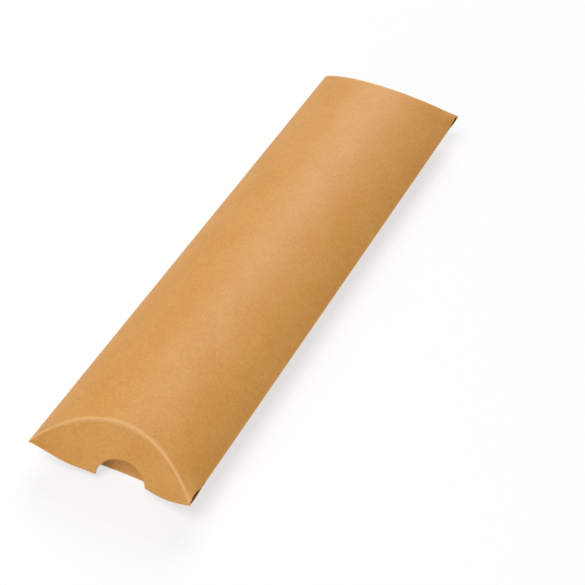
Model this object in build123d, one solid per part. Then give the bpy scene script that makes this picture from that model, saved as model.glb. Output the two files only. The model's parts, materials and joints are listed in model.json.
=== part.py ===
from build123d import *
import os
from math import asin, cos, degrees, hypot, radians, sin, sqrt

# A pillow box of thin card, closed. Two bowed panels are joined along both long sides, and each end is
# closed by two flaps that fold in along curved creases: the outer one hangs from the top panel and covers
# the inner one, which stands up from the bottom panel.
# Millimetres. X runs across the box, Y along it, Z up. The near end is at -Y.
# The origin is under the middle of the box, on the surface that it stands on.

# Card
card_thickness = 0.45

# Panels
box_width = 62.8  # from side crease to side crease
box_length = 246.0  # along a side crease, from corner to corner
panel_rise = 13.0  # how far a panel bows out from the plane of the two side creases
stand_flat_width = 6.0  # strip along the bottom that is pressed flat under the box

# End creases and flaps
crease_setback = 12.0  # how far an end crease dips in from the corners, at the middle
flap_clearance = 2.0  # how far short of the opposite crease an upright flap would end, at the middle
outer_flap_lean = 17.0  # degrees by which the outer flap stands out from upright
inner_flap_lean = 5.0  # degrees by which the inner flap leans in from upright
thumb_notch_radius = 9.75
thumb_notch_offset = 1.8  # from the middle of the flap towards the glued seam
bend_line_offset = 12.5  # from the middle of an outer flap to the line where its wing bends
outer_tip_trim = 2.0  # how far short of the corner an outer flap's tip ends
inner_tip_trim = 5.0

# Seam along the right side
tab_reach = 10.0  # how far the tab reaches in from the side crease, seen from above
tab_end_inset = 14.0  # from the box's corner to the tab's end, at the crease
tab_end_taper = 4.0  # how much further in the tab ends along its free edge
glue_thickness = 0.24  # space that the glue takes up between the tab and the top panel
glue_margin = 1.5  # bare border round the glue

# Clearances
crease_gap = 0.6  # between a flap and its panel, where the card is scored
bend_gap = 0.1  # between the middle of an outer flap and its wing
film_gap = 0.08  # between the film of glue and the card on each side
overrun = 60.0  # how far cutting shapes run past what they cut

# Worked out from the sizes above
half_width = box_width / 2
half_length = box_length / 2
flap_depth = 2 * panel_rise - flap_clearance
bow_radius = (half_width**2 + panel_rise**2) / (2 * panel_rise)
bow_centre_drop = bow_radius - panel_rise
bow_start = degrees(asin(bow_centre_drop / bow_radius))
bow_sweep = 180 - 2 * bow_start
stand_flat_sink = bow_radius - sqrt(bow_radius**2 - (stand_flat_width / 2) ** 2)
mid_height = panel_rise - stand_flat_sink
crease_length_down = hypot(crease_setback, panel_rise)
near_chord = (0, -half_length, mid_height)
mid_plane = Plane((0, 0, mid_height))
across = (1, 0, 0)


def bow(rise):
    """The panels' curve over the box's width, drawn with another rise: an arc of an ellipse."""
    stretch = abs(rise) / panel_rise
    centre = (0, -bow_centre_drop * stretch)
    arc = EllipticalCenterArc(centre, bow_radius, bow_radius * stretch, bow_start, arc_size=bow_sweep)
    return arc if rise > 0 else arc.mirror(Plane.XZ)


def closed_face(edges):
    """A face between curves that share their end points in turn."""
    return make_face(Wire.combine(edges)[0])


def under_bow(rise, depth):
    """The area between a bow and a straight line, the depth below the bow's ends."""
    left, right = -half_width, half_width
    sides = Polyline((right, 0), (right, -depth), (left, -depth), (left, 0))
    return closed_face([bow(rise), *sides.edges()])


def card_band(outer_radius, thickness):
    """A bowed strip of the box's cross-section, above the plane of the side creases."""
    centre = Pos(0, -bow_centre_drop)
    ring = centre * Circle(outer_radius) - centre * Circle(outer_radius - thickness)
    return ring & Rectangle(2 * bow_radius, bow_radius, align=(Align.CENTER, Align.MIN))


def along_box(section):
    """A cross-section drawn on the box's whole length."""
    far_section = Plane((0, half_length, mid_height), x_dir=across, z_dir=(0, -1, 0))
    return extrude(far_section * section, amount=box_length)


def turned_over(shape):
    """The shape mirrored from the top half of the box to the bottom half."""
    return mirror(shape, about=mid_plane)


def at_far_end(shape):
    """The shape mirrored from the near end of the box to the far end."""
    return mirror(shape, about=Plane.XZ)


def beyond_crease(gap):
    """Everything outside the near top crease, mitred so that panel and flap share the corner.

    The crease lies in a sloping plane through both corners, and the mitre stands square on that plane.
    """
    slope = Plane(near_chord, x_dir=across, z_dir=(0, -panel_rise, crease_setback))
    area = Pos(0, -gap) * under_bow(crease_length_down, overrun)
    return extrude(slope * area, amount=overrun, both=True)


def make_panel():
    """A bowed panel between the two end creases, as the top one lies."""
    panel = along_box(card_band(bow_radius, card_thickness))
    near_end = beyond_crease(0)
    return panel - near_end - at_far_end(near_end)


def make_bottom_panel():
    """The panel turned over, with the narrow flat strip that the box stands on."""
    above_table = Box(box_width, box_length, overrun, align=(Align.CENTER, Align.CENTER, Align.MIN))
    return turned_over(make_panel()) & above_table


def seam_outline(margin):
    """The tab's outline seen from above, with tapered ends, as a tall block."""
    side = half_width - margin
    edge = half_width - tab_reach + margin
    end_at_crease = half_length - tab_end_inset - margin
    end_at_edge = end_at_crease - tab_end_taper
    points = [(side, -end_at_crease), (side, end_at_crease), (edge, end_at_edge), (edge, -end_at_edge)]
    return extrude(Polygon(*points, align=None), amount=overrun)


def make_seam_tab():
    """The strip that folds in from the bottom panel and lies behind the top one."""
    tab_radius = bow_radius - card_thickness - glue_thickness
    ring_centre = Pos(0, -bow_centre_drop)
    ring = ring_centre * Circle(tab_radius) - ring_centre * Circle(tab_radius - card_thickness)
    inside_bottom = Pos(0, bow_centre_drop) * Circle(bow_radius - card_thickness)
    return along_box(ring & inside_bottom) & seam_outline(0)


def make_seam_glue():
    """The film of glue between the tab and the top panel."""
    film = card_band(bow_radius - card_thickness - film_gap, glue_thickness - 2 * film_gap)
    return along_box(film) & seam_outline(glue_margin)


def make_flap(lean, tip_trim, notch_radius=0):
    """A flap that hangs from the near top crease, leaning out by the given angle.

    It is a part of a cylinder whose straight lines run down the flap, so its section and its free edge are
    the panel's bow drawn with other rises.
    """
    out, down = sin(radians(lean)), cos(radians(lean))
    setback_slope = crease_setback / panel_rise
    section_rise = panel_rise * (setback_slope * down - out)
    edge_rise = flap_depth - crease_setback * out - panel_rise * down

    section_plane = Plane(near_chord, x_dir=across, z_dir=(0, out, down))
    outer = bow(section_rise)
    inner = outer.moved(Pos(0, card_thickness))
    sides = [Line(outer @ end, inner @ end) for end in (0, 1)]
    sheet = extrude(section_plane * closed_face([outer, inner, *sides]), amount=overrun, both=True)

    outline_plane = Plane(near_chord, x_dir=across, z_dir=(0, down, -out))
    outline = under_bow(edge_rise, overrun) & Rectangle(2 * (half_width - tip_trim), 4 * overrun)
    if notch_radius:
        outline -= Pos(thumb_notch_offset, edge_rise) * Circle(notch_radius)
    cut = extrude(outline_plane * outline, amount=overrun, both=True)
    return sheet & cut & beyond_crease(crease_gap)


def cut_into_wings(flap):
    """An outer flap divided where it bends: the middle, the left wing and the right wing."""
    wing_start = bend_line_offset + bend_gap / 2
    middle_width = bend_line_offset - bend_gap / 2
    middle = Box(2 * middle_width, 2 * box_length, overrun)
    beyond_bend = Box(box_width, 2 * box_length, overrun, align=(Align.MIN, Align.CENTER, Align.CENTER))
    right = Pos(wing_start) * beyond_bend
    return flap & middle, flap & mirror(right, about=Plane.YZ), flap & right


def make_end(end_name, place, notch_radius):
    """The four moving pieces of one end."""
    outer = place(make_flap(outer_flap_lean, outer_tip_trim, notch_radius))
    inner = place(turned_over(make_flap(-inner_flap_lean, inner_tip_trim)))
    middle, left_wing, right_wing = cut_into_wings(outer)
    return {
        f"{end_name}_outer_flap": middle,
        f"{end_name}_outer_flap_left_wing": left_wing,
        f"{end_name}_outer_flap_right_wing": right_wing,
        f"{end_name}_inner_flap": inner,
    }


nodes = {
    "top_panel": make_panel(),
    "bottom_panel": make_bottom_panel(),
    "seam_tab": make_seam_tab(),
    "seam_glue": make_seam_glue(),
    **make_end("near", lambda shape: shape, thumb_notch_radius),
    **make_end("far", at_far_end, 0),
}

os.makedirs("parts", exist_ok=True)
for name, shape in nodes.items():
    export_step(shape, f"parts/{name}.step")
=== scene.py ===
import json
from math import asin, atan2, cos, exp, pi, radians, sin, sqrt, tan

import bmesh
import bpy
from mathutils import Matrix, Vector


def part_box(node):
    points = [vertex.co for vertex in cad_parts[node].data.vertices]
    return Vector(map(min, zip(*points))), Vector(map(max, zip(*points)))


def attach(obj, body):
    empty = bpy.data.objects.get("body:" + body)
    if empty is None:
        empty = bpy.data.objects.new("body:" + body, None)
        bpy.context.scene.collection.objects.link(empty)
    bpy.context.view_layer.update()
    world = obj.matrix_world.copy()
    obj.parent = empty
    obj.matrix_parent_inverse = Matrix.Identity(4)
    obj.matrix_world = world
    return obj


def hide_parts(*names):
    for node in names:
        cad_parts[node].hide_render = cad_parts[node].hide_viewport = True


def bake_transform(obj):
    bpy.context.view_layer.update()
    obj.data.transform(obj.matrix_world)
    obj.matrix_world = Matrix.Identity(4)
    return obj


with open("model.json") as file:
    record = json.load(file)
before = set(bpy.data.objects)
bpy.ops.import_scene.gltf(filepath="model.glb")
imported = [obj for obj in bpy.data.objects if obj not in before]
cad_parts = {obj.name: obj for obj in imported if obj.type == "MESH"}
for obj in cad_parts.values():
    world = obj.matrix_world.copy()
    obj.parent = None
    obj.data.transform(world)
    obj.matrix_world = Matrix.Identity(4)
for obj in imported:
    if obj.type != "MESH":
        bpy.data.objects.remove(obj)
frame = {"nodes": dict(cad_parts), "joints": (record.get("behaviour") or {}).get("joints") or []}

bl_info = {
    "name": "Kraft pillow box",
    "version": (1, 0, 0),
    "blender": (4, 5, 0),
    "location": "3D View > Sidebar > Pillow box",
    "description": "Dresses a pillow box of bowed kraft card with curved creases and folding end flaps",
    "category": "Object",
}

mm = 0.001
white = (1, 1, 1, 1)

# Sizes read from the fixed frame, in metres. X runs across the box, Y along it, Z up. The near end is at -Y.
panel_low, panel_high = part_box("top_panel")
joints = {joint["name"]: joint for joint in frame["joints"]}
near_fold = joints["near_outer_flap_fold"]
wing_bend = joints["near_outer_flap_right_wing_bend"]
half_width = panel_high.x
half_length = panel_high.y
mid_height = panel_low.z
panel_rise = panel_high.z - panel_low.z
crease_setback = near_fold["pos_m"][1] + half_length
outer_lean = atan2(wing_bend["axis"][1], wing_bend["axis"][2])
inner_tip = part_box("near_inner_flap")[1].x

# Worked out from them
bow_radius = (half_width**2 + panel_rise**2) / (2 * panel_rise)
bow_centre_drop = bow_radius - panel_rise
bow_half_angle = asin(half_width / bow_radius)
setback_slope = crease_setback / panel_rise

# How finely the sheets are divided
bow_columns = 72
side_fold_columns = 8
round_steps = 4  # over half of a rounded end crease
row_length = 3 * mm
corner_rows = (1.5 * mm, 4.5 * mm, 7.5 * mm)  # closer rows near the corners, where the edges part
flap_rows = 14
notch_facets = 96
smooth_below = radians(35)  # edges that turn less than this are shaded smooth

# How close counts as the same place
sliver = 0.08 * mm  # a cut this near to a row of points runs through them
inside_cut = 1.01 * sliver  # how far inside a cut its own points may lie
merge_distance = 0.005 * mm
on_line_distance = 0.01 * mm

# How pale the card is painted along its folds: partly rubbed fibres, partly a painted highlight where the
# rounded fold catches the light
full_pale_width = 0.3 * mm  # from a fold's line to where the pale band starts to fade
pale_band_width = 0.9 * mm  # and to where it ends
pale_band_share = 0.7  # of the pale colour, where the band is at full strength

# How the card lies
settled_zone = 14 * mm  # from a fold or the right-hand edge to where a panel wanders freely
wave_length = 45 * mm  # of that wandering
curl_share = 0.75  # of the gape that the top panel takes
gape_skew = 0.7  # under 1, it is widest nearer to the corner than to the seam
push_width = 8 * mm  # how far along the flap the push beside the notch spreads
bulge_place = 20 * mm  # from the middle of the flap to where it stands out on the left
bulge_width = 7 * mm
cutter_depth = 40 * mm  # of the notch's cutter, which runs well past both faces of the flap

# The stage, in metres
floor_size = 6
white_start = 0.2  # from the box's middle to where the floor looks whiter
white_end = 0.8  # and to where it looks all white
near_white_share = 0.7  # how much plain white the camera sees in the floor near the box
camera_place = (205.2 * mm, -451.6 * mm, 452.2 * mm)
camera_turn = (radians(47.4035), radians(-2.4703), radians(25.4858))
# each lamp's place and width, and the property that holds its power
lamps = {
    "key_lamp": ((-0.05, -0.95, 1.77), 0.9, "key_power"),
    "front_lamp": ((-0.45, -1.55, 0.3), 0.8, "front_power"),
    "back_lamp": ((-0.38, 1.46, 1.35), 1.2, "back_power"),
}


class BoxSizes(bpy.types.PropertyGroup):
    """Sizes of the card and its folds"""
    card_thickness: bpy.props.FloatProperty(
        name="Card thickness", description="Thickness of the card", default=0.45 * mm, unit="LENGTH")
    crease_radius: bpy.props.FloatProperty(
        name="Crease radius", description="Outer radius of the scored end creases", default=0.7 * mm,
        unit="LENGTH")
    side_radius: bpy.props.FloatProperty(
        name="Side radius", description="Outer radius of the side crease", default=0.6 * mm, unit="LENGTH")
    flap_depth: bpy.props.FloatProperty(
        name="Flap depth", description="From crease to free edge at the middle", default=24 * mm,
        unit="LENGTH")
    notch_radius: bpy.props.FloatProperty(
        name="Notch radius", description="Radius of the thumb notch", default=9.4 * mm, unit="LENGTH")
    notch_offset: bpy.props.FloatProperty(
        name="Notch offset", description="From the middle of the flap towards the glued seam",
        default=1.45 * mm, unit="LENGTH")
    thumb_push: bpy.props.FloatProperty(
        name="Thumb push", description="How far the flap's edge is pushed in beside the notch",
        default=2.2 * mm, unit="LENGTH")
    flap_bulge: bpy.props.FloatProperty(
        name="Flap bulge", description="How far the flap's edge stands out on the left", default=1.1 * mm,
        unit="LENGTH")
    tip_trim: bpy.props.FloatProperty(
        name="Tip trim", description="How far short of the corner an outer flap ends", default=0.6 * mm,
        unit="LENGTH")
    gape: bpy.props.FloatProperty(
        name="Gape", description="How far the panels' edges stand apart beyond the ends of the seam",
        default=2.6 * mm, unit="LENGTH")
    gape_length: bpy.props.FloatProperty(
        name="Gape length", description="From the end crease to where the seam holds", default=9.5 * mm,
        unit="LENGTH")
    gape_width: bpy.props.FloatProperty(
        name="Gape width", description="How far in from the edge the card is bent", default=9 * mm,
        unit="LENGTH")
    inner_lean: bpy.props.FloatProperty(
        name="Inner lean", description="How far the inner flap leans in", default=radians(5),
        subtype="ANGLE")
    unevenness: bpy.props.FloatProperty(
        name="Unevenness", description="How far the panels wander off a true curve", default=0.22 * mm,
        unit="LENGTH")


def linear(code):
    """The linear RGBA of an sRGB hex colour."""
    parts = [int(code[i:i + 2], 16) / 255 for i in (0, 2, 4)]
    return [c / 12.92 if c <= 0.04045 else ((c + 0.055) / 1.055) ** 2.4 for c in parts] + [1]


class BoxColours(bpy.types.PropertyGroup):
    """Colours of the card and the glue"""
    card: bpy.props.FloatVectorProperty(
        name="Card", description="Unbleached kraft", size=4, subtype="COLOR", default=linear("c98e43"))
    dark_fibre: bpy.props.FloatVectorProperty(
        name="Dark fibre", description="Bark and knots in the pulp", size=4, subtype="COLOR",
        default=linear("9a6528"))
    pale_fibre: bpy.props.FloatVectorProperty(
        name="Pale fibre", description="Bleached fibres", size=4, subtype="COLOR",
        default=linear("dcab68"))
    # partly rubbed fibres and partly a painted highlight along the folds
    worn_crease_and_highlight: bpy.props.FloatVectorProperty(
        name="Worn crease", description="Fibres stretched over a fold", size=4, subtype="COLOR",
        default=linear("dcae74"))
    glue: bpy.props.FloatVectorProperty(
        name="Glue", description="Dried glue", size=4, subtype="COLOR", default=linear("e6dfc8"))


class StageLook(bpy.types.PropertyGroup):
    """Floor, lamps and camera"""
    floor: bpy.props.FloatVectorProperty(
        name="Floor", description="Colour of the floor", size=4, subtype="COLOR",
        default=linear("f4f4f4"))
    key_power: bpy.props.FloatProperty(
        name="Key lamp", description="Strength of the large lamp above", default=30, unit="POWER")
    front_power: bpy.props.FloatProperty(
        name="Front lamp", description="Strength of the low lamp in front, which reaches into the notch",
        default=6, unit="POWER")
    back_power: bpy.props.FloatProperty(
        name="Back lamp", description="Strength of the lamp behind, which gives the card its sheen",
        default=25, unit="POWER")
    sky: bpy.props.FloatProperty(
        name="Sky", description="Strength of the even light all round", default=0.05)
    lens: bpy.props.FloatProperty(
        name="Lens", description="Focal length in mm", default=105.16, unit="CAMERA")


def bow_height(x):
    """Height of a bowed panel's outer face above the plane of the side creases."""
    return sqrt(max(bow_radius**2 - x * x, 0)) - bow_centre_drop


def bowed_place(x, corners, slope):
    """The place at x on a bowed line across the box, which rises along slope from the line of two corners.

    corners is the middle of that line.
    """
    return corners + Vector((x, 0, 0)) + slope * bow_height(x)


def eased(share):
    """A share held between 0 and 1, so that it leaves the one and reaches the other gently."""
    share = max(0, min(1, share))
    return share * share * (3 - 2 * share)


def hump(distance, width):
    """A smooth hump: 1 in its middle, and almost 0 at twice its width from there."""
    return exp(-((distance / width) ** 2))


def wear_and_highlight_near(distance):
    """Fold paleness at this distance from its line, rubbed fibres and a painted highlight: 1 close, fading
    to 0.
    """
    return eased((pale_band_width - distance) / (pale_band_width - full_pale_width))


def flat_place(x, along):
    """Where a point of the bowed card lies on the flat blank: across and along, in metres."""
    across = bow_radius * asin(max(-1, min(1, x / bow_radius)))
    return Vector((across, along, 0))


def select_only(pieces):
    """Selects these pieces alone, with the first one active."""
    bpy.ops.object.select_all(action="DESELECT")
    for piece in pieces:
        piece.select_set(True)
    bpy.context.view_layer.objects.active = pieces[0]


def edit_all(piece):
    """Opens a piece in edit mode with all of it selected."""
    select_only([piece])
    bpy.ops.object.mode_set(mode="EDIT")
    bpy.ops.mesh.select_all(action="SELECT")


def finish_editing():
    bpy.ops.object.mode_set(mode="OBJECT")


def start_point(name):
    """Adds a piece that is a single point at the origin, and stays in edit mode."""
    bpy.ops.object.select_all(action="DESELECT")
    bpy.ops.mesh.primitive_plane_add(size=mm)
    piece = bpy.context.object
    piece.name = piece.data.name = name
    bpy.ops.object.mode_set(mode="EDIT")
    bpy.ops.mesh.select_mode(type="VERT")
    bpy.ops.mesh.select_all(action="SELECT")
    bpy.ops.mesh.merge(type="CENTER")
    return piece


def pick(test):
    """Selects the points of the piece in edit mode whose place passes the test."""
    mesh = bpy.context.object.data
    edited = bmesh.from_edit_mesh(mesh)
    for point in edited.verts:
        point.select = bool(test(point.co))
    edited.select_flush_mode()
    bmesh.update_edit_mesh(mesh)


def spin(angle, centre, steps):
    """Sweeps the selected point about an axis along the box, clockwise as seen from the near end."""
    # the operator turns against the right-hand rule
    bpy.ops.mesh.spin(steps=steps, angle=-angle, center=centre, axis=(0, 1, 0))


def cut(place, outwards, clear=True):
    """Cuts the whole piece in edit mode along a plane. What lies beyond it is cleared, or else stays."""
    bpy.ops.mesh.select_all(action="SELECT")
    bpy.ops.mesh.bisect(plane_co=place, plane_no=Vector(outwards).normalized(), clear_outer=clear,
                        threshold=sliver)


def pull(*moves):
    """Extrudes the selected edges by each move in turn."""
    for move in moves:
        bpy.ops.mesh.extrude_edges_move(TRANSFORM_OT_translate={"value": move})


def fold_arc(turn, steps, end, upside):
    """The moves that carry a sheet's edge round an end crease, turned in all by turn from along the box."""
    chord = 2 * bpy.context.scene.box_sizes.crease_radius * sin(turn / steps / 2)
    ways = [turn * (step + 0.5) / steps for step in range(steps)]
    return [Vector((0, end * cos(way), -upside * sin(way))) * chord for way in ways]


def bow_chain(name, corners, slope):
    """A chain of edges across the box, along the line that bowed_place gives."""
    piece = start_point(name)
    bpy.ops.transform.translate(value=(-half_width, 0, 0))
    spin(2 * bow_half_angle, (0, 0, -bow_centre_drop), bow_columns)
    finish_editing()
    for point in piece.data.vertices:
        point.co = bowed_place(point.co.x, corners, slope)
    return piece


def apply_modifier(piece, kind, **settings):
    """Adds a modifier with these settings and applies it."""
    select_only([piece])
    modifier = piece.modifiers.new(kind.title(), kind)
    for key, value in settings.items():
        setattr(modifier, key, value)
    bpy.ops.object.modifier_apply(modifier=modifier.name)


def face_outwards(piece, out):
    """Turns an open sheet so that its front looks the way of out."""
    facing = sum((face.normal * face.area for face in piece.data.polygons), Vector())
    if facing.dot(out) < 0:
        edit_all(piece)
        bpy.ops.mesh.flip_normals()
        finish_editing()


def store(piece, name, values, kind="FLOAT_VECTOR"):
    """Keeps one value per point with the mesh, for the materials to read."""
    attribute = piece.data.attributes.new(name, kind, "POINT")
    key = "vector" if kind == "FLOAT_VECTOR" else "value"
    for item, value in zip(attribute.data, values):
        setattr(item, key, value)


def thicken(piece):
    """Gives an open sheet the card's thickness behind its front, with its cut edges as a second material."""
    apply_modifier(piece, "SOLIDIFY", thickness=bpy.context.scene.box_sizes.card_thickness, offset=-1,
                   use_even_offset=True, use_quality_normals=True, material_offset_rim=1)


def finish_piece(piece, nodes):
    """Smooths a finished piece of card and lets it stand for its nodes."""
    select_only([piece])
    bpy.ops.object.shade_smooth_by_angle(angle=smooth_below)
    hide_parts(*nodes)


def add(nodes, kind, inputs=None, **settings):
    """Adds a shader node with its settings. Each input takes the socket or value that inputs gives it."""
    node = nodes.new(kind)
    for key, value in settings.items():
        setattr(node, key, value)
    for key, value in (inputs or {}).items():
        if isinstance(value, bpy.types.NodeSocket):
            nodes.id_data.links.new(value, node.inputs[key])
        else:
            node.inputs[key].default_value = value
    return node


def new_material(name):
    """A material with no nodes yet, and its nodes."""
    material = bpy.data.materials.new(name)
    material.use_nodes = True
    material.node_tree.nodes.clear()
    return material, material.node_tree.nodes


# What mottles the card: the colour laid over it, the grain's width in mm and how many times as long it is
# along the web, the noise where it starts and where it is full, and the share it then takes. The last two
# are fibres. Real ones are about 0.03 mm wide, too fine to show, so these are drawn ten times as wide.
mottling = (
    ("pale_fibre", 15.0, 1.5, 0.30, 0.70, 0.20),
    ("dark_fibre", 2.6, 1.4, 0.38, 0.72, 0.10),
    ("dark_fibre", 0.8, 1.6, 0.40, 0.75, 0.22),
    ("pale_fibre", 0.32, 5.0, 0.54, 0.76, 0.50),
    ("dark_fibre", 0.36, 4.0, 0.60, 0.78, 0.45),
)


def make_kraft(name, bowed):
    """Unbleached kraft card, machine finished.

    The eye sees a warm tan with a soft sheen, faintly mottled where pulp clumped, with short darker and
    paler fibres along the web. Folds are paler: partly because their fibres are stretched and rubbed, and
    partly from a painted highlight where a rounded fold catches the light. On bowed card the pattern lies
    on the flat blank and the pale band follows the folds. Elsewhere it lies on the piece.
    """
    colours = bpy.context.scene.box_colours
    material, nodes = new_material(name)
    if bowed:
        place = add(nodes, "ShaderNodeAttribute", attribute_name="flat").outputs["Vector"]
    else:
        place = add(nodes, "ShaderNodeTexCoord").outputs["Object"]
    colour = colours.card
    for tint, grain, stretch, start, full, share in mottling:
        width, length = grain * mm, grain * stretch * mm
        scaled = add(nodes, "ShaderNodeMapping",
                     {"Vector": place, "Scale": (1 / width, 1 / length, 1 / width)})
        noise = add(nodes, "ShaderNodeTexNoise",
                    {"Vector": scaled.outputs["Vector"], "Scale": 1.0, "Detail": 2.0, "Roughness": 0.55})
        part = add(nodes, "ShaderNodeMapRange",
                   {"Value": noise.outputs["Fac"], "From Min": start, "From Max": full, "To Max": share},
                   interpolation_type="SMOOTHSTEP")
        colour = add(nodes, "ShaderNodeMix",
                     {0: part.outputs["Result"], 6: colour, 7: getattr(colours, tint)},
                     data_type="RGBA").outputs[2]
    # a pale band along the folds: partly rubbed fibres, partly a painted highlight where the rounded fold
    # catches the light
    if bowed:
        fold_band = add(nodes, "ShaderNodeAttribute", attribute_name="fold_wear").outputs["Fac"]
        part = add(nodes, "ShaderNodeMath", {0: fold_band, 1: pale_band_share}, operation="MULTIPLY")
        colour = add(nodes, "ShaderNodeMix", {0: part.outputs[0], 6: colour, 7: colours.worn_crease_and_highlight},
                     data_type="RGBA").outputs[2]
    # the last of the fibres stand a little proud
    bump = add(nodes, "ShaderNodeBump",
               {"Height": noise.outputs["Fac"], "Strength": 0.35, "Distance": 0.03 * mm})
    shader = add(nodes, "ShaderNodeBsdfPrincipled",
                 {"Base Color": colour, "Normal": bump.outputs["Normal"], "Roughness": 0.5, "IOR": 1.36})
    add(nodes, "ShaderNodeOutputMaterial", {"Surface": shader.outputs["BSDF"]})
    return material


def make_cut_edge(name):
    """The edge of die-cut card: pressed plies, a little paler and rougher than the face.

    Real plies are about 0.1 mm thick, too fine to show, so the pattern is four times as coarse.
    """
    colours = bpy.context.scene.box_colours
    material, nodes = new_material(name)
    place = add(nodes, "ShaderNodeTexCoord").outputs["Object"]
    plies = add(nodes, "ShaderNodeTexNoise", {"Vector": place, "Scale": 1 / (0.4 * mm), "Detail": 3.0})
    tint = add(nodes, "ShaderNodeMix", {0: plies.outputs["Fac"], 6: colours.card, 7: colours.pale_fibre},
               data_type="RGBA")
    bump = add(nodes, "ShaderNodeBump",
               {"Height": plies.outputs["Fac"], "Strength": 0.3, "Distance": 0.08 * mm})
    shader = add(nodes, "ShaderNodeBsdfPrincipled",
                 {"Base Color": tint.outputs[2], "Normal": bump.outputs["Normal"], "Roughness": 0.8,
                  "IOR": 1.5})
    add(nodes, "ShaderNodeOutputMaterial", {"Surface": shader.outputs["BSDF"]})
    return material


def make_glue(name):
    """Dried dispersion glue: a milky, slightly glossy film, uneven where the roller left it."""
    colours = bpy.context.scene.box_colours
    material, nodes = new_material(name)
    place = add(nodes, "ShaderNodeTexCoord").outputs["Object"]
    streaks = add(nodes, "ShaderNodeTexNoise", {"Vector": place, "Scale": 1 / (2.5 * mm), "Detail": 2.0})
    tint = add(nodes, "ShaderNodeMix", {0: streaks.outputs["Fac"], 6: colours.glue, 7: colours.card},
               data_type="RGBA")
    shader = add(nodes, "ShaderNodeBsdfPrincipled",
                 {"Base Color": tint.outputs[2], "Roughness": 0.35, "IOR": 1.47})
    add(nodes, "ShaderNodeOutputMaterial", {"Surface": shader.outputs["BSDF"]})
    return material


def material_named(name, make, *settings):
    """A material that is made when it is first asked for."""
    return bpy.data.materials.get(name) or make(name, *settings)


def give_card(piece):
    """Gives a sheet the card's face, and its cut edge as the second material."""
    piece.data.materials.clear()
    piece.data.materials.append(material_named("kraft_card_machine_finished", make_kraft, True))
    piece.data.materials.append(material_named("kraft_card_die_cut_edge", make_cut_edge))


def pull_bow(name, upside):
    """Starts a panel as a bowed sheet a little longer than the box, and stays in edit mode.

    upside is 1 for the top panel, which carries the rounded fold along the left side, and -1 for the
    bottom one.
    """
    side = bpy.context.scene.box_sizes.side_radius
    centre = Vector((0, 0, mid_height - upside * bow_centre_drop))
    # the fold's centre lies on the plane of the side creases, and its circle touches both bows
    fold_x = sqrt((bow_radius - side) ** 2 - bow_centre_drop**2)
    fold_angle = asin(fold_x / (bow_radius - side))
    piece = start_point(name)
    start = Vector((half_width, -half_length - row_length, mid_height))
    bpy.ops.transform.translate(value=start)
    spin(-upside * (bow_half_angle + fold_angle), centre, bow_columns)
    if upside > 0:
        spin(-2 * (pi / 2 - fold_angle), (-fold_x, start.y, mid_height), side_fold_columns)
    bpy.ops.mesh.select_all(action="SELECT")
    rows = round(2 * (half_length + row_length) / row_length)
    pull(*[(0, row_length, 0)] * rows)
    return piece


def round_end(end, upside):
    """Cuts the panel in edit mode along its end crease, and rounds it over to the middle of the fold.

    end is -1 at the near end and 1 at the far end.
    """
    turn = pi / 2 - outer_lean
    setback = bpy.context.scene.box_sizes.crease_radius * tan(turn / 2)
    # the end crease lies in a sloping plane through two corners
    corners = Vector((0, end * (half_length - setback), mid_height))
    outwards = Vector((0, end * panel_rise, upside * crease_setback)).normalized()
    cut(corners, outwards)
    # a line where the fold's pale band ends
    cut(corners - outwards * pale_band_width, outwards, clear=False)
    pick(lambda place: (place - corners).dot(outwards) > -inside_cut)
    pull(*fold_arc(turn / 2, round_steps, end, upside))


def make_panel(name, upside):
    """A bowed panel of the case as an open sheet, from the left side crease to the right-hand edge."""
    piece = pull_bow(name, upside)
    for inset in corner_rows:
        for end in (-1, 1):
            cut((0, end * (half_length - inset), 0), (0, end, 0), clear=False)
    for end in (-1, 1):
        round_end(end, upside)
    bpy.ops.mesh.select_all(action="SELECT")
    bpy.ops.mesh.remove_doubles(threshold=merge_distance)
    finish_editing()
    face_outwards(piece, Vector((0, 0, upside)))
    return piece


def mark_panel(piece, upside):
    """Stores where a panel's points lie on the blank, how pale the folds make them, and how freely they
    wander.
    """
    points = [point.co.copy() for point in piece.data.vertices]

    def from_fold(place):
        height = max(0, upside * (place.z - mid_height))
        return min(half_length - setback_slope * height - abs(place.y), abs(place.x + half_width))

    store(piece, "flat", [flat_place(place.x, place.y) for place in points])
    store(piece, "fold_wear", [wear_and_highlight_near(from_fold(place)) for place in points], "FLOAT")
    group = piece.vertex_groups.new(name="free_to_wander")
    for index, place in enumerate(points):
        held = min(from_fold(place), half_width - place.x)
        group.add([index], eased(held / settled_zone), "REPLACE")


def uneven(piece):
    """Lets a panel wander a little off its true curve, as card does that was folded by hand."""
    waves = bpy.data.textures.get("card_waves") or bpy.data.textures.new("card_waves", "CLOUDS")
    waves.noise_scale = wave_length
    waves.noise_depth = 1
    strength = 2 * bpy.context.scene.box_sizes.unevenness
    apply_modifier(piece, "DISPLACE", texture=waves, texture_coords="LOCAL", strength=strength,
                   mid_level=0.5, vertex_group="free_to_wander")


def open_corners(piece, upside):
    """Lets the panels' right-hand edges part a little beyond the ends of the seam.

    Most of it is the top one that curls up, and the rest is the bottom one that hangs down.
    """
    sizes = bpy.context.scene.box_sizes
    lift = sizes.gape * (curl_share if upside > 0 else curl_share - 1)
    for point in piece.data.vertices:
        crease = half_length - setback_slope * bow_height(point.co.x)
        from_crease = (crease - abs(point.co.y)) / sizes.gape_length
        from_edge = (half_width - point.co.x) / sizes.gape_width
        if 0 < from_crease < 1 and from_edge < 1:
            point.co.z += lift * sin(pi * from_crease**gape_skew) * (1 - from_edge) ** 2


def stand_flat(piece):
    """Presses what would sink into the table flat on it."""
    select_only([piece])
    bpy.ops.object.mode_set(mode="EDIT")
    pick(lambda place: place.z < 0)
    bpy.ops.transform.resize(value=(1, 1, 0), center_override=(0, 0, 0))
    finish_editing()


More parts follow.
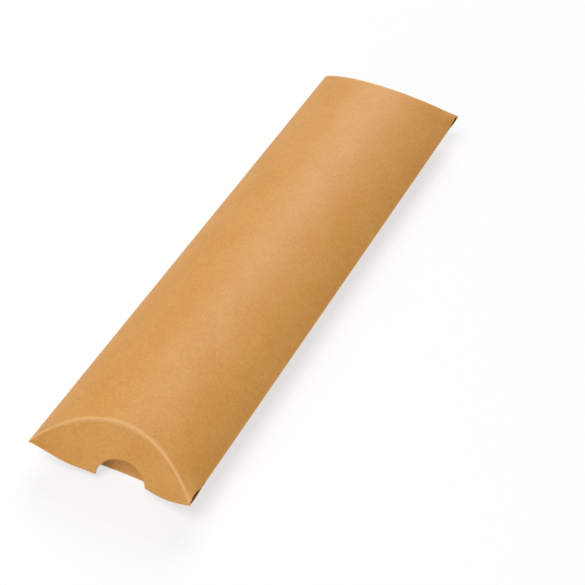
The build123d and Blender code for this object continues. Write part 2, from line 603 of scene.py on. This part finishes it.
class FlapShape:
    """Where a flap is, and the lines that its sheet lies between.

    end is -1 at the near end and 1 at the far end. upside is 1 where the flap hangs from the top panel and
    -1 where it stands up from the bottom one. lean is how far it leans out of the box. Its crease and its
    free edge rise along crease and free_edge from the line of two corners, as bowed_place draws them.
    """

    def __init__(self, end, upside, lean):
        self.end = end
        self.upside = upside
        self.lean = lean
        self.corners = Vector((0, end * half_length, mid_height))
        self.crease = Vector((0, -end * setback_slope, upside))
        self.to_edge = Vector((0, end * sin(lean), -upside * cos(lean)))
        self.free_edge = self.crease + self.to_edge * bpy.context.scene.box_sizes.flap_depth / panel_rise

    def middle(self, line):
        """The middle of the crease or of the free edge."""
        return bowed_place(0, self.corners, line)

    def depth(self, place):
        """How far a place is from the line of the crease, towards the free edge."""
        return (place - bowed_place(place.x, self.corners, self.crease)).dot(self.to_edge)


def bridge_flap(name, shape, tip):
    """A flap as an open sheet, from the middle of its rounded crease to its free edge.

    tip is how far from the middle its two ends are.
    """
    turn = pi / 2 - shape.lean
    reach = bpy.context.scene.box_sizes.crease_radius * tan(turn / 2)
    # from the sharp line of the crease back to the start of the rounding, and along half of its arc
    arc = fold_arc(turn, 2 * round_steps, shape.end, shape.upside)
    apex = shape.corners + Vector((0, -shape.end * reach, 0)) + sum(arc[:round_steps], Vector())
    piece = bow_chain(name, apex, shape.crease)
    edit_all(piece)
    pull(*arc[round_steps:])
    finish_editing()
    rim = bow_chain(name + "_rim", shape.corners, shape.free_edge)
    select_only([piece, rim])
    bpy.ops.object.join()
    bpy.ops.object.mode_set(mode="EDIT")
    rounded_corners = shape.corners + shape.to_edge * reach

    def to_bridge(place):
        rounding = bowed_place(place.x, rounded_corners, shape.crease)
        free_edge = bowed_place(place.x, shape.corners, shape.free_edge)
        return min((place - rounding).length, (place - free_edge).length) < on_line_distance

    pick(to_bridge)
    bpy.ops.mesh.bridge_edge_loops(number_cuts=flap_rows, interpolation="LINEAR")
    for side in (-1, 1):
        cut((side * tip, 0, 0), (side, 0, 0))
    finish_editing()
    face_outwards(piece, Vector((0, shape.end, 0)))
    return piece


def mark_flap(piece, shape, depths):
    """Stores where a flap's points lie on the blank and how pale the fold makes them."""
    flat_places = []
    for point, depth in zip(piece.data.vertices, depths):
        along = half_length - setback_slope * bow_height(point.co.x) + depth
        flat_places.append(flat_place(point.co.x, shape.end * along))
    store(piece, "flat", flat_places)
    store(piece, "fold_wear", [wear_and_highlight_near(abs(depth)) for depth in depths], "FLOAT")


def press_in(piece, shape, depths):
    """Leaves a flap as a thumb left it: pushed in beside the notch, and a little out on the left."""
    sizes = bpy.context.scene.box_sizes
    for point, depth in zip(piece.data.vertices, depths):
        pushed = sizes.thumb_push * hump(point.co.x - sizes.notch_radius, push_width)
        bulged = sizes.flap_bulge * hump(point.co.x + bulge_place, bulge_width)
        point.co.y -= shape.end * (pushed - bulged) * max(0, depth) / sizes.flap_depth


def cut_notch(piece, shape):
    """Cuts the round thumb notch out of an outer flap, close to the middle of its free edge."""
    sizes = bpy.context.scene.box_sizes
    centre = shape.middle(shape.free_edge) + Vector((sizes.notch_offset, 0, 0))
    bpy.ops.object.select_all(action="DESELECT")
    bpy.ops.mesh.primitive_cylinder_add(radius=sizes.notch_radius, depth=cutter_depth, vertices=notch_facets,
                                        location=centre, rotation=(pi / 2 + shape.end * shape.lean, 0, 0))
    cutter = bpy.context.object
    apply_modifier(piece, "BOOLEAN", operation="DIFFERENCE", object=cutter, solver="EXACT")
    bpy.data.objects.remove(cutter)


def make_flap(name, shape, tip, notch=False):
    """A flap as one piece of card, with or without the thumb notch."""
    piece = bridge_flap(name, shape, tip)
    depths = [shape.depth(point.co) for point in piece.data.vertices]
    mark_flap(piece, shape, depths)
    if notch:
        press_in(piece, shape, depths)
    give_card(piece)
    thicken(piece)
    if notch:
        cut_notch(piece, shape)
    return piece


def hang_on_case(piece, shape):
    """Bakes a flap's place into its mesh, where it stays; it is given no body to follow."""
    start = shape.middle(shape.crease)
    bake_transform(piece)


class BOX_OT_panels(bpy.types.Operator):
    """Makes the two bowed panels of the case"""
    bl_idname = "pillow_box.panels"
    bl_label = "Panels"

    def execute(self, context):
        for name, upside in (("top_panel", 1), ("bottom_panel", -1)):
            piece = make_panel(name + "_card", upside)
            mark_panel(piece, upside)
            give_card(piece)
            uneven(piece)
            open_corners(piece, upside)
            stand_flat(piece)
            thicken(piece)
            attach(piece, "case")
            finish_piece(piece, [name])
        return {"FINISHED"}


class BOX_OT_outer_flaps(bpy.types.Operator):
    """Makes the outer flap of each end, one sheet for the middle and the two wings"""
    bl_idname = "pillow_box.outer_flaps"
    bl_label = "Outer flaps"

    def execute(self, context):
        tip = half_width - context.scene.box_sizes.tip_trim
        for end_name, end in (("near", -1), ("far", 1)):
            name = f"{end_name}_outer_flap"
            shape = FlapShape(end, 1, outer_lean)
            piece = make_flap(name + "_card", shape, tip, notch=end < 0)
            finish_piece(piece, [name, name + "_left_wing", name + "_right_wing"])
            hang_on_case(piece, shape)
        return {"FINISHED"}


class BOX_OT_inner_flaps(bpy.types.Operator):
    """Makes the inner flap of each end"""
    bl_idname = "pillow_box.inner_flaps"
    bl_label = "Inner flaps"

    def execute(self, context):
        for end_name, end in (("near", -1), ("far", 1)):
            name = f"{end_name}_inner_flap"
            shape = FlapShape(end, -1, -context.scene.box_sizes.inner_lean)
            piece = make_flap(name + "_card", shape, inner_tip)
            finish_piece(piece, [name])
            hang_on_case(piece, shape)
        return {"FINISHED"}


class BOX_OT_seam(bpy.types.Operator):
    """Dresses the seam tab and the glue behind the right-hand edge"""
    bl_idname = "pillow_box.seam"
    bl_label = "Seam"

    def execute(self, context):
        looks = {
            "seam_tab": material_named("kraft_card_seam_tab", make_kraft, False),
            "seam_glue": material_named("dispersion_glue_dried", make_glue),
        }
        for name, material in looks.items():
            node = frame["nodes"][name]
            node.data.materials.clear()
            node.data.materials.append(material)
        return {"FINISHED"}


def looked_at(nodes):
    """1 where the camera sees a background, straight or in a reflection or through glass, and else 0."""
    path = add(nodes, "ShaderNodeLightPath").outputs
    mirrored = add(nodes, "ShaderNodeMath", {0: path["Is Glossy Ray"], 1: path["Is Transmission Ray"]},
                   operation="MAXIMUM")
    return add(nodes, "ShaderNodeMath", {0: path["Is Camera Ray"], 1: mirrored.outputs[0]},
               operation="MAXIMUM").outputs[0]


def make_floor():
    """A pale matte paper floor. The camera sees the box's shadow on it, and plain white further off."""
    look = bpy.context.scene.stage_look
    bpy.ops.object.select_all(action="DESELECT")
    bpy.ops.mesh.primitive_plane_add(size=floor_size)
    floor = bpy.context.object
    floor.name = floor.data.name = "floor"
    material, nodes = new_material("pale_paper_floor")
    matte = add(nodes, "ShaderNodeBsdfDiffuse", {"Color": look.floor})
    glow = add(nodes, "ShaderNodeEmission", {"Color": white, "Strength": 1.0})
    place = add(nodes, "ShaderNodeTexCoord").outputs["Object"]
    distance = add(nodes, "ShaderNodeVectorMath", {0: place}, operation="LENGTH").outputs["Value"]
    fade = add(nodes, "ShaderNodeMapRange",
               {"Value": distance, "From Min": white_start, "From Max": white_end,
                "To Min": near_white_share, "To Max": 1.0},
               interpolation_type="SMOOTHSTEP")
    share = add(nodes, "ShaderNodeMath", {0: looked_at(nodes), 1: fade.outputs["Result"]},
                operation="MULTIPLY")
    both = add(nodes, "ShaderNodeMixShader",
               {0: share.outputs[0], 1: matte.outputs[0], 2: glow.outputs[0]})
    add(nodes, "ShaderNodeOutputMaterial", {"Surface": both.outputs[0]})
    floor.data.materials.append(material)


def add_lamp(name, place, width, power):
    """A square soft lamp that faces the box."""
    bpy.ops.object.select_all(action="DESELECT")
    bpy.ops.object.light_add(type="AREA", location=place)
    lamp = bpy.context.object
    lamp.name = lamp.data.name = name
    lamp.data.size = width
    lamp.data.energy = power
    lamp.rotation_mode = "QUATERNION"
    lamp.rotation_quaternion = (Vector((0, 0, mid_height)) - Vector(place)).to_track_quat("-Z", "Y")


def make_sky():
    """A white background for the camera, and a faint even light on the box."""
    world = bpy.context.scene.world or bpy.data.worlds.new("world")
    bpy.context.scene.world = world
    world.use_nodes = True
    nodes = world.node_tree.nodes
    nodes.clear()
    strength = add(nodes, "ShaderNodeMath", {0: looked_at(nodes), 1: bpy.context.scene.stage_look.sky},
                   operation="MAXIMUM")
    background = add(nodes, "ShaderNodeBackground", {"Color": white, "Strength": strength.outputs[0]})
    add(nodes, "ShaderNodeOutputWorld", {"Surface": background.outputs[0]})


def make_camera():
    """The camera at the photograph's viewing angle."""
    bpy.ops.object.select_all(action="DESELECT")
    bpy.ops.object.camera_add(location=camera_place, rotation=camera_turn)
    camera = bpy.context.object
    camera.name = camera.data.name = "camera"
    camera.data.sensor_width = 36
    camera.data.lens = bpy.context.scene.stage_look.lens
    camera.data.clip_start = 10 * mm
    bpy.context.scene.camera = camera
    bpy.context.scene.view_settings.view_transform = "Standard"


class BOX_OT_stage(bpy.types.Operator):
    """Makes the floor, the lamps and the camera"""
    bl_idname = "pillow_box.stage"
    bl_label = "Stage"

    def execute(self, context):
        make_floor()
        for name, (place, width, power) in lamps.items():
            add_lamp(name, place, width, getattr(context.scene.stage_look, power))
        make_sky()
        make_camera()
        return {"FINISHED"}


steps = (BOX_OT_panels, BOX_OT_outer_flaps, BOX_OT_inner_flaps, BOX_OT_seam, BOX_OT_stage)
groups = {"box_sizes": BoxSizes, "box_colours": BoxColours, "stage_look": StageLook}


class BOX_PT_panel(bpy.types.Panel):
    """Lists the sizes, the colours and the steps that dress the box"""
    bl_idname = "BOX_PT_pillow_box"
    bl_label = "Pillow box"
    bl_space_type = "VIEW_3D"
    bl_region_type = "UI"
    bl_category = "Pillow box"

    def draw(self, context):
        for name in groups:
            group = getattr(context.scene, name)
            box = self.layout.box()
            for key in group.__annotations__:
                box.prop(group, key)
        for step in steps:
            self.layout.operator(step.bl_idname)


def register():
    for kind in (*groups.values(), *steps, BOX_PT_panel):
        bpy.utils.register_class(kind)
    for name, kind in groups.items():
        setattr(bpy.types.Scene, name, bpy.props.PointerProperty(type=kind))


def unregister():
    for name in groups:
        delattr(bpy.types.Scene, name)
    for kind in (BOX_PT_panel, *reversed(steps), *groups.values()):
        bpy.utils.unregister_class(kind)


def main():
    """Dresses the frame."""
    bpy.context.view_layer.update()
    register()
    for step in steps:
        group, name = step.bl_idname.split(".")
        getattr(getattr(bpy.ops, group), name)()


if __name__ == "__main__":
    main()
